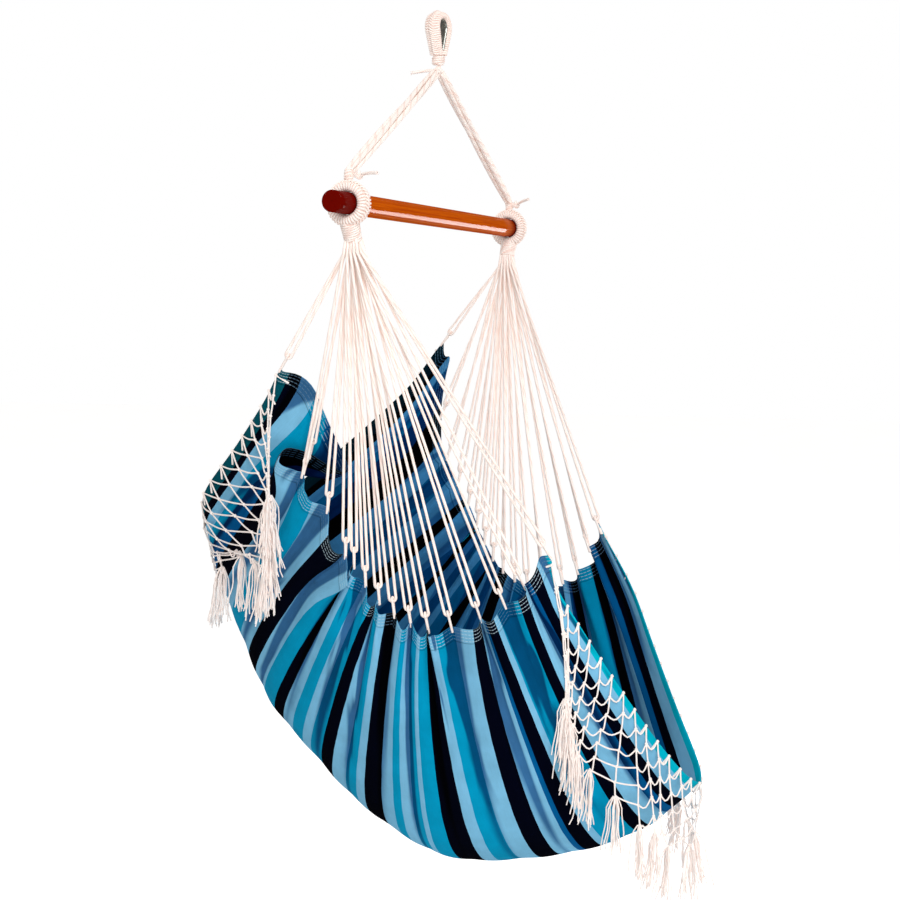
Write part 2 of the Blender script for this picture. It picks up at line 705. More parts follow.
# %% Whippings over the rings, necks under them
for side, word in SIDES.items():
    foot, end, lean = leg_foot(side)
    angles = np.linspace(0, lean, 9)
    xs = end[0] + side * BEND * (np.cos(angles) - math.cos(lean))
    zs = end[2] - BEND * (math.sin(lean) - np.sin(angles))
    bend = np.stack([xs, np.zeros(9), zs], 1)
    bend = np.vstack([bend[:1] - UP * 7 * MM, bend])
    wound = Bundle()
    whip(wound, bend, (WHIPPING, WHIPPING), 3.5 * MM, thickness=1.8 * MM)
    dress(wound.make(f"{word}_wound_ring_whipping"), wound_cord, "yoke",
          f"{word}_ring_whipping")
    print(word, "ring whipping is", round(line_length(bend) / MM, 1), "mm long")
    wound = Bundle()
    top = np.array((side * RING_X, 0, BAR_Z - RING_HOLE - RING_THICK / 2))
    whip(wound, [top, neck_foot(side)], (15 * MM, 13.4 * MM), 3.6 * MM)
    dress(wound.make(f"{word}_wound_neck"), wound_cord, "seat", f"{word}_neck")

knotted = Bundle()
knot(knotted, PIVOT, 7.9 * MM, 2.9 * MM, (0.2, 1.0, 0.1))
knot(knotted, PIVOT, 7.0 * MM, 2.9 * MM, (1.0, 0.1, 0.5))
dress(knotted.make("tied_leg_knot"), laid_cord, "knot", "leg_knot")

# %% [markdown]
# ## The legs
# From the knot, four cords go down to each ring. One thick rope would look too neat. Four
# tubes lie nearly side by side, turn a little round each other, and grow fuller and swell
# apart in the middle, where nothing presses them together.

# %% Lay the leg cords
for side, word in SIDES.items():
    end = leg_foot(side)[1]
    direction = unit(PIVOT - end)
    start, stop = end + direction * 0.3 * MM, PIVOT - direction * 7.8 * MM
    flat = np.array((0.0, 1.0, 0.0))
    steep = np.cross(direction, flat)
    share = np.linspace(0, 1, 30)
    loose = np.sin(np.pi * share) ** 0.6
    legs = Bundle()
    for index in range(4):
        swell = (4.3 + 1.8 * loose + 0.3 * np.sin(7 * share + index)) * MM
        angle = 2 * np.pi * (index + 0.5) / 4 + side * share ** 2 * np.pi / 2
        line = start + (stop - start) * share[:, None]
        line = line + flat * (swell * np.cos(angle))[:, None]
        line = line + steep * (swell * np.sin(angle))[:, None]
        legs.tube(line, (2.7 + 1.1 * loose) * MM, 14, tone=rng.random())
    nodes = [f"{word}_leg_cord_{k}" for k in range(1, 5)]
    dress(legs.make(f"{word}_leg_bundle"), laid_cord, "yoke", *nodes)
    print(word, "leg is", round(line_length(line), 3), "m long")

# %% [markdown]
# ## The sling's surface
# Across the chair the cloth hangs in catenaries. Each runs from one side hem, down to the
# seat's middle line and up to the other hem. So two lines in space set the whole sling, the
# side hem and the middle line, from the back edge to the front edge. A simulated sheet
# would find a form of its own, and these lines keep the one that was measured.

# %% The hem and the middle line
# Both lines from the back edge to the front edge, as shares of the seat's half width at its
# back, of its reach and of its drop under the bar
HEM = np.array([
    (1.0, 0.274, -0.226), (0.966, 0.242, -0.364), (0.934, 0.167, -0.437),
    (0.899, 0.093, -0.49), (0.866, 0.034, -0.535), (0.829, -0.033, -0.571),
    (0.797, -0.113, -0.592), (0.76, -0.206, -0.601), (0.681, -0.338, -0.584),
    (0.599, -0.442, -0.552), (0.52, -0.513, -0.505)]) * (0.304, 0.452, 1.060)
MIDDLE = np.array([
    (0, 0.885, -0.495), (0, 0.85, -0.59), (0, 0.767, -0.694), (0, 0.637, -0.794),
    (0, 0.462, -0.879), (0, 0.245, -0.952), (0, 0, -1.0), (0, -0.255, -1.005),
    (0, -0.534, -0.975), (0, -0.819, -0.921), (0, -1.0, -0.847)]) * (1, 0.452, 1.060)
GAPS = 15


def on_spline(rows, share):
    """Points of a smooth line through the rows, by their share of the way."""
    share = np.clip(share, 0, 1) * (len(rows) - 1)
    i = np.minimum(share.astype(int), len(rows) - 2)
    t = (share - i)[..., None]
    rows = np.vstack([2 * rows[0] - rows[1], rows, 2 * rows[-1] - rows[-2]])
    a, b, c, d = rows[i], rows[i + 1], rows[i + 2], rows[i + 3]
    bend = (2 * a - 5 * b + 4 * c - d) * t ** 2
    return b + ((c - a) * t + bend + (3 * b - a - 3 * c + d) * t ** 3) / 2


print("the hem at the back is", round(2 * HEM[0][0], 3), "m across")


# %% The sling between them
def sling(u, v):
    """A point of the smooth sling, and half the width of cloth there."""
    u, v = np.broadcast_arrays(np.asarray(u, float), np.asarray(v, float))
    hem, middle = on_spline(HEM, u), on_spline(MIDDLE, u)
    width = hem[..., 0]
    depth = np.hypot(middle[..., 1] - hem[..., 1], middle[..., 2] - hem[..., 2])
    low, high = np.full(u.shape, 0.05), np.full(u.shape, 8.0)
    for _ in range(40):
        bend = (low + high) / 2
        short = (np.cosh(bend) - 1) / bend < depth / width
        low, high = np.where(short, bend, low), np.where(short, high, bend)
    pull = v * np.sinh(bend)
    rise = ((np.sqrt(1 + pull ** 2) - 1) / (np.cosh(bend) - 1))[..., None]
    point = middle + (hem - middle) * rise
    point[..., 0] = width * np.arcsinh(pull) / bend
    point[..., 2] += BAR_Z
    return point, width * np.sinh(bend) / bend


def outward_of(u, v):
    """The direction that the smooth sling's outside faces."""
    e = 0.004
    along = sling(np.minimum(u + e, 1), v)[0] - sling(np.maximum(u - e, 0), v)[0]
    across = sling(u, np.minimum(v + e, 1))[0] - sling(u, np.maximum(v - e, -1))[0]
    return unit(np.cross(across, along))


print("under the seat the cloth faces", outward_of(np.array(0.6), np.array(0.0)).round(2))

# %% [markdown]
# ## Pleats
# The cloth is longer than its hem, so it gathers there. It is pinned into a valley at each
# fan cord and stands out between them. Some pleats lean over the next valley, and smaller
# creases start at the hem and run down into the cloth. Billows carry larger places: the
# flap at the back corner, the sag between two cords, the bends of the front edge. All of it
# is sums of bumps that fade with the distance from the hem, or from a line inside it.
# Code moves the sheet here, because a simulation would also move its outline.

# %% Pleats and creases
# One pleat for each gap between two fan cords: how far it stands out, and how far it leans
PLEATS = np.array((
    0.5, 0.9, 0.9, 1.3, 1.7, 0.8, 1.3, 1.0, 1.2, 1.3, 0.9, 1.2, 1.1, 1.3, 0.7))
LEANS = np.array((
    0.0, 0.1, -0.1, 0.25, 0.62, -0.2, 0.3, -0.25, 0.2, 0.35, -0.3, 0.25, -0.2, 0.3, 0.1))
VALLEY, FOLD = 0.5, 12 * MM
CREASES = 110


def creases(seed):
    """Each crease: its gap, its drift per metre, its width in gaps, its height and its fade."""
    some = np.random.default_rng(seed)
    gap, drift = some.uniform(0.2, 14.8, CREASES), some.normal(0, 2.0, CREASES)
    width = some.uniform(0.06, 0.16, CREASES)
    way = some.choice((-1.0, 1.0), CREASES, p=(0.6, 0.4))
    size = way * some.uniform(1.0, 4.0, CREASES) * MM
    return np.stack([gap, drift, width, size, some.uniform(0.04, 0.2, CREASES)], 1)


CREASE_SETS = {-1: creases(5), 1: creases(8)}
skews = np.random.default_rng(3).uniform(0.72, 1.4, GAPS)
print("each side has", GAPS, "pleats and", CREASES, "creases")

# %% Billows
# Each billow: side, middle in gaps, width in gaps, distance from the hem and fade in metres,
# and how far it carries the cloth
BILLOWS = [
    (-1, 0.1, 0.2, 0, 0.05, (0.0, 0.012, -0.002)),
    (-1, 0.3, 0.2, 0, 0.05, (0.0, -0.012, 0.020)),
    (-1, 0.55, 0.26, 0, 0.07, (0.022, -0.036, 0.004)),
    (-1, 0.82, 0.19, 0, 0.08, (0.055, -0.052, -0.078)),
    (-1, 1.1, 0.22, 0, 0.05, (0.0, 0.012, 0.0)),
    (-1, 1.5, 0.34, 0, 0.05, (-0.004, 0.018, 0.012)),
    (-1, 2.1, 0.45, 0, 0.06, (0.0, 0.006, 0.016)),
    (-1, 3.0, 0.5, 0, 0.06, (0.0, -0.006, 0.010)),
    (-1, 4.1, 0.6, 0, 0.07, (0.0, -0.010, -0.022)),
    (-1, 0.0, 1.3, 0.30, 0.09, (-0.006, 0.023, -0.012)),
    (-1, 6.5, 2.5, 0.27, 0.14, (0.002, -0.005, 0.004)),
    (-1, 14.65, 0.28, 0, 0.04, (0.014, 0.004, 0.018)),
    (-1, 15.0, 0.2, 0, 0.03, (0.006, -0.012, 0.006)),
    (1, 0.0, 0.15, 0, 0.05, (0.003, -0.007, 0.030)),
    (1, 0.35, 0.2, 0, 0.05, (0.009, -0.019, 0.040)),
    (1, 0.65, 0.2, 0, 0.05, (0.004, -0.008, 0.022)),
    (1, 13.9, 0.5, 0, 0.05, (0.0, 0.0, 0.009)),
    (1, 14.7, 0.8, 0, 0.10, (-0.003, 0.004, 0.014)),
    (1, 14.74, 0.16, 0, 0.04, (-0.004, 0.004, 0.018)),
    (1, 15.0, 1.2, 0.09, 0.09, (0.004, -0.010, 0.0)),
    (1, 15.0, 1.2, 0.34, 0.11, (-0.003, 0.008, 0.0)),
]
farthest = max(math.hypot(*billow[-1]) for billow in BILLOWS)
print("the farthest billow carries the cloth", round(farthest, 3), "m")

# %% Gather the cloth
SCALLOP, FLAT_OUT, FLATTER = 4 * MM, 5 * MM, 4 * MM


def gathered(u, v):
    """The sling with its pleats, creases, billows and scalloped hem."""
    u, v = np.broadcast_arrays(np.asarray(u, float), np.asarray(v, float))
    gaps = u * GAPS
    gap = np.minimum(gaps.astype(int), GAPS - 1)
    x = gaps - gap
    half = sling(u, v)[1]
    bulge = np.sin(np.pi * x ** skews[gap])
    scallop = np.sin(np.pi * x) * SCALLOP * (1 + PLEATS[gap]) / half
    across = v * (1 - scallop)
    way = (1 - np.abs(v)) * half
    ends = np.clip(gaps, 0, 1) * np.clip(GAPS - gaps, 0, 1)
    depth = FOLD * (0.1 + 0.9 * np.abs(v) ** 2.4)
    height = depth * (-VALLEY * ends + (PLEATS[gap] + VALLEY * ends) * bulge ** 1.3)
    pinned = 1 - np.exp(-((x * (1 - x) * 6) ** 2 + (way / 0.03) ** 2))
    for side, table in CREASE_SETS.items():
        here = v * side > 0
        for middle, drift, width, size, fade in table:
            near = np.exp(-((gaps - middle - drift * way) / width) ** 2 - way / fade)
            height = height + here * size * near * pinned
    broad = np.sin(gaps * 1.9 + 3 * v) * np.sin(2.4 * v + gaps * 0.35 + 0.6)
    height = height + 2.5 * MM * broad * np.clip(way / 0.1, 0, 1) * ends
    height = height - (FLAT_OUT + FLATTER * np.exp(-((gaps - 6.5) / 2.5) ** 2)) * (1 - v ** 2)
    shifted = np.clip(u + LEANS[gap] * bulge * np.exp(-way / 0.09) / GAPS, 0, 1)
    place = sling(shifted, across)[0] + outward_of(u, across) * height[..., None]
    for side, middle, width, inward, fade, carry in BILLOWS:
        near = np.exp(-((gaps - middle) / width) ** 2 - ((way - inward) / fade) ** 2)
        place = place + (near * (v * side > 0))[..., None] * np.array(carry)
    return place, way


print("the back corner lies at", gathered(0, -1)[0].round(3))

# %% Weave the sheet
ROWS, COLUMNS = 20 * GAPS + 1, 193
CLOTH_LENGTH = 1.209
us = np.linspace(0, 1, ROWS)[:, None]
ts = np.linspace(-1, 1, COLUMNS)[None, :]
vs = np.sign(ts) * (1 - (1 - np.abs(ts)) ** 1.15)
cloth_points, hem_way = gathered(us, vs)
seat_run = way_along(sling(us[:, 0], np.zeros(ROWS))[0])
hem_run = way_along(sling(us[:, 0], np.ones(ROWS))[0])
seat_run = seat_run * CLOTH_LENGTH / seat_run[-1]
print("the hem is", round(hem_run[-1], 3), "m long and the seat's middle", CLOTH_LENGTH, "m")
index = np.arange(ROWS * COLUMNS).reshape(ROWS, COLUMNS)
corner = index[:-1, :-1]
cloth_quads = np.stack(
    [corner, corner + 1, corner + COLUMNS + 1, corner + COLUMNS], -1).reshape(-1, 4)

# %% Maps for the stripes and for the hem
# The stripes lean near the back corners and in the middle, where the cloth is pulled askew
MAP_WIDE, MAP_LONG = 1.2, 1.25
gaps = us * GAPS
askew = 0.05 * np.exp(-hem_way / 0.09) * np.clip(gaps, 0, 1) * np.clip((4.5 - gaps) / 3.5, 0, 1)
askew = askew + 0.036 * np.exp(-((gaps - 5.5) / 3) ** 2) * (0.55 - np.abs(vs) ** 2.5)
from_left = (1 + vs) * sling(us, vs)[1]
stripe_map = np.stack([from_left / MAP_WIDE, (seat_run[:, None] + askew) / MAP_LONG], -1)
hem_map = np.stack([hem_way, np.broadcast_to(hem_run[:, None], hem_way.shape)], -1)
print("across, the cloth is up to", round(float(from_left.max()), 3), "m wide")

# %% The hollows between pleats
facing = unit(np.cross(np.gradient(cloth_points, axis=1), np.gradient(cloth_points, axis=0)))


def blurred(rows, reach):
    """The mean of each row's neighbours on both sides."""
    pad = ((reach, reach), (0, 0), (0, 0))
    total = np.cumsum(np.pad(rows, pad, mode="reflect", reflect_type="odd"), axis=0)
    return (total[2 * reach:] - total[:-2 * reach]) / (2 * reach)


hollow = np.zeros((ROWS, COLUMNS))
for reach, depth in ((4, 1.2 * MM), (9, 4.0 * MM)):
    hollow += ((blurred(cloth_points, reach) - cloth_points) * facing).sum(-1) / depth
hollow = np.clip(hollow * 0.7, -1, 1)
print("the folds are hollow by", round(hollow.min(), 2), "to", round(hollow.max(), 2))

# %% Two faces and a rim
HALF_THICK = 0.65 * MM
outer = cloth_points + facing * HALF_THICK
inner = cloth_points - facing * HALF_THICK
rim = np.concatenate([index[0, :-1], index[:-1, -1], index[-1, :0:-1], index[:0:-1, 0]])
after = np.roll(rim, -1)
below = ROWS * COLUMNS
rim_quads = np.stack([rim + below, after + below, after, rim], -1)
all_quads = np.vstack([cloth_quads, cloth_quads[:, ::-1] + below, rim_quads])
maps = {name: np.tile(flat.reshape(-1, 2), (2, 1))[all_quads].reshape(-1, 2)
        for name, flat in (("Cloth", stripe_map), ("Hem", hem_map))}
both = np.vstack([outer.reshape(-1, 3), inner.reshape(-1, 3)])
cloth_mesh = new_mesh("striped_sling", both, all_quads, maps)
hollow_values = np.concatenate([hollow.ravel(), -hollow.ravel()])
for name, values in (("inside", np.repeat((0.0, 1.0), below)), ("hollow", hollow_values)):
    cloth_mesh.attributes.new(name, "FLOAT", "POINT").data.foreach_set("value", values)
cloth_area = sum(p.area for p in cloth_mesh.polygons) / 2
print("the sling's area is", round(cloth_area, 3), "square metres")

# %% [markdown]
# ## Striped cloth
# The stripes are common woven ones, in six blues, and run from hem to hem. They could be
# cut out of the mesh, but a shader keeps them sharp at any size. A colour ramp with hard
# steps holds their order, and as one ramp takes 32 colours at most, there are two. The weave
# is fine: threads along the stripes and across them. Four rows of stitches hold each side hem.
# The inside is a little deeper in colour, less so near the front edge, and the hollows
# between pleats are darker, because soft studio light fills them too well.

# %% The stripes in order
PALE, TURQUOISE, BLUE, NAVY, TEAL, BRIGHT = [
    paint(122, 186, 220), paint(0, 148, 190), paint(0, 88, 146), paint(0, 2, 18),
    paint(2, 78, 92), paint(0, 176, 200)]
# Where each stripe ends, in millimetres from the back edge
STRIPES = [
    (22, TEAL), (34, NAVY), (52, PALE), (66, TURQUOISE), (96, BLUE), (130, NAVY), (170, PALE),
    (212, TURQUOISE), (252, PALE), (288, NAVY), (324, PALE), (362, TURQUOISE), (388, NAVY),
    (414, PALE), (442, TURQUOISE), (462, PALE), (488, TURQUOISE), (520, NAVY), (552, PALE),
    (579, TURQUOISE), (599, PALE), (637, NAVY), (665, PALE), (683, TURQUOISE), (705, PALE),
    (725, TURQUOISE), (733, PALE), (765, TURQUOISE), (808, NAVY), (832, PALE), (868, TURQUOISE),
    (902, PALE), (935, NAVY), (973, PALE), (983, BLUE), (1010, NAVY), (1025, PALE),
    (1077, TURQUOISE), (1100, NAVY), (1133, PALE), (1148, BLUE), (1170, NAVY), (1195, PALE),
    (1300, BRIGHT)]
print("the cloth has", len(STRIPES), "stripes")


# %% A ramp of stripes
def stripe_ramp(finish, along, bands, start):
    """A ramp over the bands, from start to the end of the last one, in millimetres."""
    stop = bands[-1][0]
    starts = [start] + [end for end, _ in bands[:-1]]
    stops = [((begin - start) / (stop - start), colour)
             for begin, (_, colour) in zip(starts, bands)]
    share = (along * 1000 - start) / (stop - start)
    return finish.node("ShaderNodeValToRGB", {"stops": stops, "fade": "CONSTANT"}, {"Fac": share})


def striped(finish, along):
    """The colour of the stripes, from one ramp for each half of them."""
    half = len(STRIPES) // 2
    middle = STRIPES[half - 1][0]
    ramps = [stripe_ramp(finish, along, STRIPES[:half], 0),
             stripe_ramp(finish, along, STRIPES[half:], middle)]
    return finish.mix(along > middle / 1000, *ramps)


print("the first ramp ends at", STRIPES[len(STRIPES) // 2 - 1][0], "mm")

# %% The rows of stitches
HEM_WIDE, FIRST_ROW, ROW_STEP, DASH = 22.8 * MM, 3.2, 5.4, 3.6 * MM


def stitches(finish, way, hem):
    """Where a row of stitches pulls the hem in, and where its thread shows."""
    rows = (way * 1000 - FIRST_ROW) / ROW_STEP
    in_hem = (way > 1.8 * MM) * (way < 21.5 * MM)
    pulled = (1 - abs((rows + 0.5).part() - 0.5).step(0.07, 0.13)) * in_hem
    return pulled, pulled * ((hem * (1 / DASH)).part() < 0.78)


print("a side hem has", int((21.5 - FIRST_ROW) / ROW_STEP) + 1, "rows of stitches")

# %% The cloth finish
THREAD = 1.1 * MM


def cloth_finish():
    finish = Finish("striped_cotton")
    across, along = finish.map("Cloth")
    across, along = across * MAP_WIDE, along * MAP_LONG
    way, hem = finish.map("Hem")
    wobble = finish.noise(finish.vector(across * 25, along * 4))
    colour = striped(finish, along + (wobble - 0.5) * 2.5 * MM)

    threads = finish.noise(finish.vector(across * 35, along * 2600))
    mottle = finish.noise(finish.place(), 26, 4.0, 0.6)
    broad = finish.noise(finish.place(), 7, 3.0, 0.55)
    shade = 1 + 0.34 * (threads - 0.5) + 0.36 * (mottle - 0.5) + 0.5 * (broad - 0.5)
    colour = finish.dim(colour, shade)

    pulled, thread = stitches(finish, way, hem)
    colour = finish.mix(thread * 0.7, colour, paint(190, 214, 226))
    fold_line = 1 - abs(way - HEM_WIDE).step(0.0, 1.2 * MM)
    colour = finish.mix(fold_line * 0.35, colour, paint(2, 20, 40))
    worn = (1 - way.step(0.0, 1.6 * MM)) * threads
    colour = finish.mix(worn * 0.35, colour, paint(150, 196, 214))

    deeper = finish.mix(0.85, colour, finish.dim(colour, colour))
    inside = finish.attribute("inside") * (1 - 0.85 * along.step(0.85, 1.12))
    colour = finish.mix(inside, colour, finish.dim(deeper, paint(204, 214, 222)))
    hollow = finish.attribute("hollow").step(0.0, 0.7) * 0.85
    colour = finish.mix(hollow, colour, finish.dim(deeper, paint(96, 140, 172)))

    weave = abs((across * (math.pi / THREAD)).sine()) * abs((along * (math.pi / THREAD)).sine())
    doubled = 1 - way.step(HEM_WIDE - 0.6 * MM, HEM_WIDE + 0.8 * MM)
    pucker = finish.noise(finish.vector(across * 60, hem * 150))
    height = 0.16 * weave + 0.1 * threads + 0.9 * doubled + 0.5 * thread - 0.4 * pulled
    height = height + 0.8 * pucker * doubled
    crumple = finish.noise(finish.place(), 42, 3.0, 0.55)
    normal = finish.bump(height, 0.8 * MM, 0.8, finish.bump(crumple, 3.5 * MM, 0.35))
    return finish.cover(Base_Color=colour, Roughness=0.84 + 0.1 * threads,
                        Specular_IOR_Level=0.03, Normal=normal)


sheet = bpy.data.objects.new("striped_sling", cloth_mesh)
dress(sheet, cloth_finish(), "seat", "seat_cloth", slot="striped_cotton")
print("the cloth finish has", len(sheet.data.materials[0].node_tree.nodes), "nodes")

# %% [markdown]
# ## Fans and hem loops
# Each fan cord is doubled: it leaves the neck, goes round a loop of the hem cord and comes
# back. The hem cord runs hidden inside the hem, and comes out of it as a narrow loop at
# every fan cord, with both legs side by side. One straight line for each cord would do from
# afar, but the forks and loops show up close, so both are followed as one bent tube each.

# %% The frame of the hem at each fan cord
FORK, LOOP_HIGH, HOOK = 5.2 * MM, 24 * MM, 6.4 * MM
FAN_CORDS = GAPS + 1


def hem_frame(side, index):
    """Where a fan cord meets the hem, the way to its neck, along the hem and out of it."""
    u, e = index / GAPS, 1 / GAPS
    place = gathered(u, side)[0]
    up = unit(neck_foot(side) - place)
    ahead, behind = gathered(min(u + e, 1), side)[0], gathered(max(u - e, 0), side)[0]
    along = ahead - behind
    along = unit(along - up * (along @ up))
    return place, up, along, np.cross(up, along)


print("the third fan cord meets the hem at", hem_frame(-1, 2)[0].round(3))

# %% Doubled fan cords
for side, word in SIDES.items():
    fan = Bundle()
    lengths = []
    turns = np.random.default_rng(21 + side).uniform(-0.6, 0.6, FAN_CORDS)
    for index in range(FAN_CORDS):
        place, up, along, out = hem_frame(side, index)
        along = along * math.cos(turns[index]) + out * math.sin(turns[index])
        column = (index % 3 + 0.5) * 4 * MM
        top_y = (7.5 - index) * 4 / 3 * MM

        def top(sign, scale, drop):
            return neck_foot(side) + np.array((sign * column * scale, top_y * scale, -drop))

        centre = place + up * (LOOP_HIGH - HOOK + FORK)
        angles = np.linspace(0, np.pi, 9)[:, None]
        bow = centre - along * FORK * np.cos(angles) - up * FORK * np.sin(angles)
        first = even_steps(np.array([top(side, 1, -4 * MM), top(side, 1.3, 15 * MM)]), 5)
        last = even_steps(np.array([top(-side, 1.3, 15 * MM), top(-side, 1, -4 * MM)]), 5)
        reach = np.linspace(0, 1, 14)[1:-1, None]
        down = first[-1] + (bow[0] - first[-1]) * reach
        back = bow[-1] + (last[0] - bow[-1]) * reach
        sway = np.sin(np.pi * reach) * out * rng.normal(0, 1.2) * MM
        line = np.vstack([first, down + sway, bow, back + sway * 0.7, last])
        lengths.append(round(line_length(line) / 2, 3))
        fan.tube(line, 2.2 * MM, 10, tone=rng.random())
    nodes = [f"{word}_fan_cord_{k + 1:02d}" for k in range(FAN_CORDS)]
    dress(fan.make(f"{word}_cord_fan"), laid_cord, "seat", *nodes)
    print(word, "fan: cords of", min(lengths), "to", max(lengths), "m from neck to fork")

# %% The loops of the hem cord
# One half of a loop: how high each point is over its foot and how far out, in millimetres
HALF_LOOP = ((0, 1.2), (9, 1.5), (17, 1.9), (24, 2.6), (29, 4.2), (32.2, 2.6), (33, 0))
for side, word in SIDES.items():
    loops = Bundle()
    for index in range(FAN_CORDS):
        place, up, _, out = hem_frame(side, index)
        foot = place - up * 9 * MM
        half = np.array(HALF_LOOP) * MM
        route = [foot + up * high + out * wide for high, wide in half]
        route += [foot + up * high - out * wide for high, wide in half[-2::-1]]
        loops.tube(smooth_line(route, 46), 1.9 * MM, 8, tone=rng.random())
    dress(loops.make(f"{word}_hem_loops"), laid_cord, "seat", f"{word}_hem_cord")
print("the hems hold", FAN_CORDS, "loops a side")

# %% [markdown]
# ## Net fringes
# A fringe is a knotted net. Its first row of knots is threaded through the cloth's edge, each
# lower knot hangs from two others by strands of one length, and the last row ends in tassels
# of soft strands. A flat net laid on the cloth would not hang, and a simulated one would
# take long, so each row of knots is hung by rule from the row above. A tree of the cloth's
# faces keeps it on the outside. Near the corners the real net is drawn together, so a last
# rule pulls the knots there towards one plumb line and towards one height.

# %% Keep clear of the cloth
cloth_tree = BVHTree.FromPolygons(cloth_points.reshape(-1, 3).tolist(), cloth_quads.tolist())
outer_sign = 1 if cloth_tree.find_nearest(Vector((0, 0, -1.45)))[1].z < 0 else -1


def off_cloth(point, distance):
    """Moves a point out until it is this far from the cloth's outside."""
    place, normal, _, _ = cloth_tree.find_nearest(Vector(point))
    normal = np.array(normal) * outer_sign
    stand = (np.asarray(point) - np.array(place)) @ normal
    return point + normal * (distance - stand) if stand < distance else point


print("the tree holds", len(cloth_quads), "faces of the cloth")

# %% Hang a knot and a strand
def hang_between(a, b, strand):
    """The place of a knot that hangs from two others by strands of one length."""
    upper, lower = (a, b) if a[2] > b[2] else (b, a)
    plumb = upper - UP * strand
    if np.linalg.norm(plumb - lower) <= strand:
        return plumb * 0.92 + lower * 0.08
    span = lower - upper
    drop = math.sqrt(max(strand ** 2 - span @ span / 4, 0))
    along = unit(span)
    down = -UP + along * along[2]
    return (upper + lower) / 2 + unit(down) * drop


def strand_between(bundle, a, b, length, thickness):
    """A strand between two knots. Where it is longer than the gap, it sags."""
    gap = np.linalg.norm(b - a)
    sag = 0.5 * math.sqrt(max(length ** 2 - gap ** 2, 0)) + rng.uniform(0, 3) * MM
    middle = off_cloth((a + b) / 2 - UP * min(sag, 11 * MM), 2.5 * MM)
    bundle.tube(smooth_line([a, middle, b], 8), thickness, 6, tone=rng.random())


low = hang_between(np.zeros(3), np.array((40 * MM, 0, 0)), 30 * MM)[2]
print("two knots 40 mm apart hold a third one", round(-low / MM, 1), "mm under them")

# %% Draw the corners together
NET_COLUMNS, NET_ROWS, TASSEL = 30, 6, 88 * MM
# For the back edge and the front edge: the column with the plumb line, the pull towards it,
# the reach in columns and the pull towards one height
BUNCH = {0: (1, 0.75, 12, 0.14), 1: (2, 0.4, 8, 0.24)}


def bunch(knots, row, column, pull, reach, level):
    """Draws the knots near both ends of a row towards a plumb line and towards one height."""
    line = knots[row]
    for end, first in ((column, 0), (len(line) - 1 - column, len(line) - 1)):
        height = line[first][2]
        for i in range(len(line)):
            share = min(row / 3, 1) * np.clip(1.6 * (1 - abs(i - first) / reach), 0, 1)
            move = (knots[1][end] - line[i]) * (1, 1, 0) * pull * share
            move[2] = max(height - line[i][2], 0) * level * share * row / NET_ROWS
            line[i] = off_cloth(line[i] + move, (4 + 4 * share * rng.random()) * MM)


print("a net has", NET_COLUMNS, "columns and", NET_ROWS, "rows")

# %% A tassel
def tassel(bundle, tie, length):
    """Fifteen soft strands under a knot, and the thread that ties them."""
    lean = rng.normal(0, 0.06, 3) * (1, 1, 0)
    reach = np.linspace(0, 1, 10)
    for _ in range(15):
        spread = rng.normal(0, 1.0, 3) * (1, 1, 0)
        curl = rng.uniform(0, 6.3, 2)
        line = tie - UP * reach[:, None] * length * rng.uniform(0.84, 1.03)
        line = line + lean * reach[:, None] * length
        fullness = 1.4 + 4.2 * np.minimum(reach * 5, 1) + 3.2 * reach ** 3
        line = line + spread * fullness[:, None] * MM
        line[:, 0] += np.sin(reach * 9 + curl[0]) * 2.2 * MM * reach
        line[:, 1] += np.sin(reach * 8 + curl[1]) * 2.2 * MM * reach
        line = np.array([off_cloth(p, 2.5 * MM) for p in line])
        bundle.tube(line, np.linspace(1.1, 1.0, 10) * MM, 5, tone=rng.random())
    upright_bead(bundle, tie - UP * 7 * MM, 3, (2.6, 3.4, 3.4, 2.6), 0.9)


def upright_bead(bundle, middle, half_high, radii, tone):
    """A small upright tube, such as a knot. All sizes are in millimetres."""
    line = middle + np.linspace(-half_high, half_high, len(radii))[:, None] * MM * UP
    bundle.tube(line, np.array(radii) * MM, 8, tone=tone)


print("a tassel is", round(TASSEL / MM), "mm long")

# %% Tie the two fringes
# For the back edge and the front edge: the strands' lengths at the corners and in the middle
STRANDS = {0: (31 * MM, 29 * MM), 1: (35 * MM, 29 * MM)}


def make_fringe(name, node, u):
    share = (np.arange(NET_COLUMNS) + 0.5) / NET_COLUMNS
    strands = np.interp(np.minimum(share, 1 - share), (0.1, 0.35), STRANDS[u])
    v = share * 2 - 1
    inward = abs(u - 0.016)
    rim = gathered(np.full(NET_COLUMNS, float(u)), v)[0]
    hole = gathered(np.full(NET_COLUMNS, inward), v)[0]
    knots = [[off_cloth(p, 2.2 * MM) for p in rim]]
    for row in range(1, NET_ROWS + 1):
        above = knots[-1]
        hung = [hang_between(a, b, s) + rng.normal(0, 1.2, 3) * MM
                for a, b, s in zip(above, above[1:], strands)]
        knots.append([off_cloth(p, 4 * MM) for p in hung])
        bunch(knots, row, *BUNCH[u])
    net = Bundle()
    for p, q in zip(hole, knots[0]):
        start = off_cloth(p, 1.4 * MM)
        net.tube(smooth_line([start, (start + q) / 2, q], 5), 1.7 * MM, 7, tone=0.9)
    for row in range(NET_ROWS):
        for i, low in enumerate(knots[row + 1]):
            for high in (knots[row][i], knots[row][i + 1]):
                strand_between(net, high, low, strands[i], 1.3 * MM)
    for line in knots:
        for point in line:
            upright_bead(net, point, 2.2, (1.2, 2.3, 2.7, 2.3, 1.2), 0.8)
    for tie in knots[-1]:
        tassel(net, tie, TASSEL)
    print(name, "has", len(knots[-1]), "tassels")
    return dress(net.make(name), soft_strand, "seat", node, slot="fringe_cotton")


front = make_fringe("front_net_fringe", "front_fringe", 1)
back = make_fringe("back_net_fringe", "back_fringe", 0)

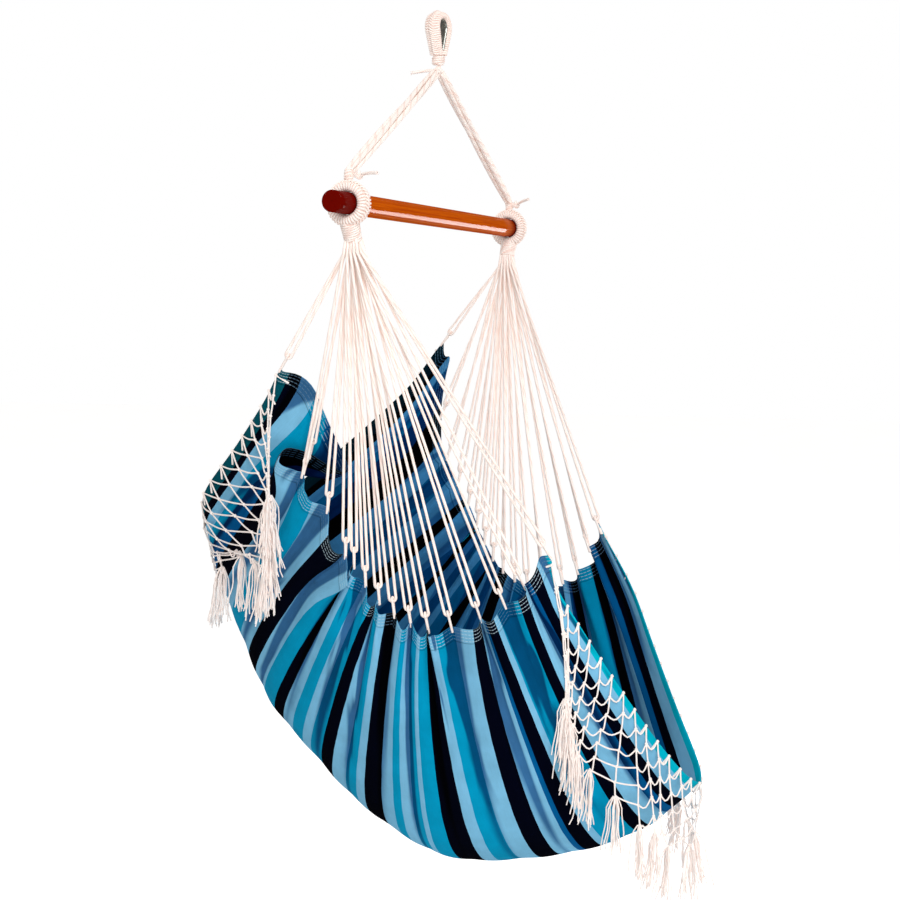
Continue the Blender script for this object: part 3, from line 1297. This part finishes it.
# %% [markdown]
# ## Floor, light and background
# The chair hangs in a plain studio: a pale floor, a white surround, three soft lamps and the
# light of the room. A strip lamp beyond the far ring lies where the bar mirrors it to the
# camera, and draws the bright line on the varnish. More light would whiten the background
# and bleach the cords, so the background is white to the camera alone. Reflections see
# a darker room and floor, or the varnish would look hazy.

# %% The floor
FLOOR_Z, FLOOR_HALF = -1.80, 20.0
corners = [(x * FLOOR_HALF, y * FLOOR_HALF, FLOOR_Z)
           for x, y in ((-1, -1), (1, -1), (1, 1), (-1, 1))]
floor_mesh = new_mesh("floor", np.array(corners), np.array([(0, 1, 2, 3)]), {})
floor = bpy.data.objects.new("floor", floor_mesh)
bpy.context.collection.objects.link(floor)
stage = Finish("pale_floor")
pale = stage.mix(stage.noise(stage.place(), 3, 3.0), paint(236, 236, 236), paint(244, 244, 244))
pale = stage.mix(stage.ray("Is Glossy Ray"), pale, paint(90, 88, 86))
seen = stage.mix(stage.ray("Is Camera Ray"), (0.0, 0.0, 0.0), (1.0, 1.0, 1.0))
stage.cover(Base_Color=pale, Roughness=0.9, Emission_Color=seen, Emission_Strength=0.55)
floor_mesh.materials.append(stage.holder)

# %% The room
ROOM_LIGHT, ROOM_SHINE = 0.56, 0.1
air = Finish("studio_air", "worlds")
bpy.context.scene.world = air.holder
strength = ROOM_LIGHT - (ROOM_LIGHT - ROOM_SHINE) * air.ray("Is Glossy Ray")
room = air.node(
    "ShaderNodeBackground", {}, {"Color": (1.0, 0.985, 0.97), "Strength": strength})
glow = air.node("ShaderNodeBackground", {}, {"Color": (1.0, 1.0, 1.0)})
shown = air.node("ShaderNodeMixShader", {}, {0: air.ray("Is Camera Ray"), 1: room, 2: glow})
air.node("ShaderNodeOutputWorld", {}, {"Surface": shown})
print("the room's light is", ROOM_LIGHT, "and", ROOM_SHINE, "in reflections")


# %% The lamps
def lamp(name, place, target, size, power, strip=None, along=(0, 0, 1)):
    """A round lamp, or a strip of the given width that lies along a direction."""
    data = bpy.data.lights.new(name, "AREA")
    data.shape = "ELLIPSE"
    data.size, data.size_y = size, strip or size
    data.energy = power
    back = (Vector(place) - Vector(target)).normalized()
    across = Vector(along).cross(back).normalized().cross(back)
    turn = Matrix((across, back.cross(across), back)).transposed()
    lamp_object = bpy.data.objects.new(name, data)
    lamp_object.matrix_world = Matrix.Translation(place) @ turn.to_4x4()
    bpy.context.collection.objects.link(lamp_object)


lamp("key_lamp", (-2.9, -1.7, 1.5), (0, 0, -0.9), 1.5, 77)
lamp("low_lamp", (-1.7, -1.9, -1.5), (0, 0, -0.4), 0.5, 7)
lamp("rim_lamp", (1.6, 2.8, 0.9), (0, 0, -0.8), 1.4, 26)
lamp("bar_lamp", (2.77, -0.73, -1.2), (0, 0, BAR_Z), 0.9, 38, strip=0.95,
     along=(0.38, 0.59, 0.71))
bpy.context.scene.view_settings.view_transform = "Standard"
print("the studio has", len(bpy.data.lights), "lamps")

# %% [markdown]
# ## Last look at the size
# Dressing must not change the chair's size. It could be checked by eye, but two boxes of
# numbers are surer, so both are written down, to be compared.
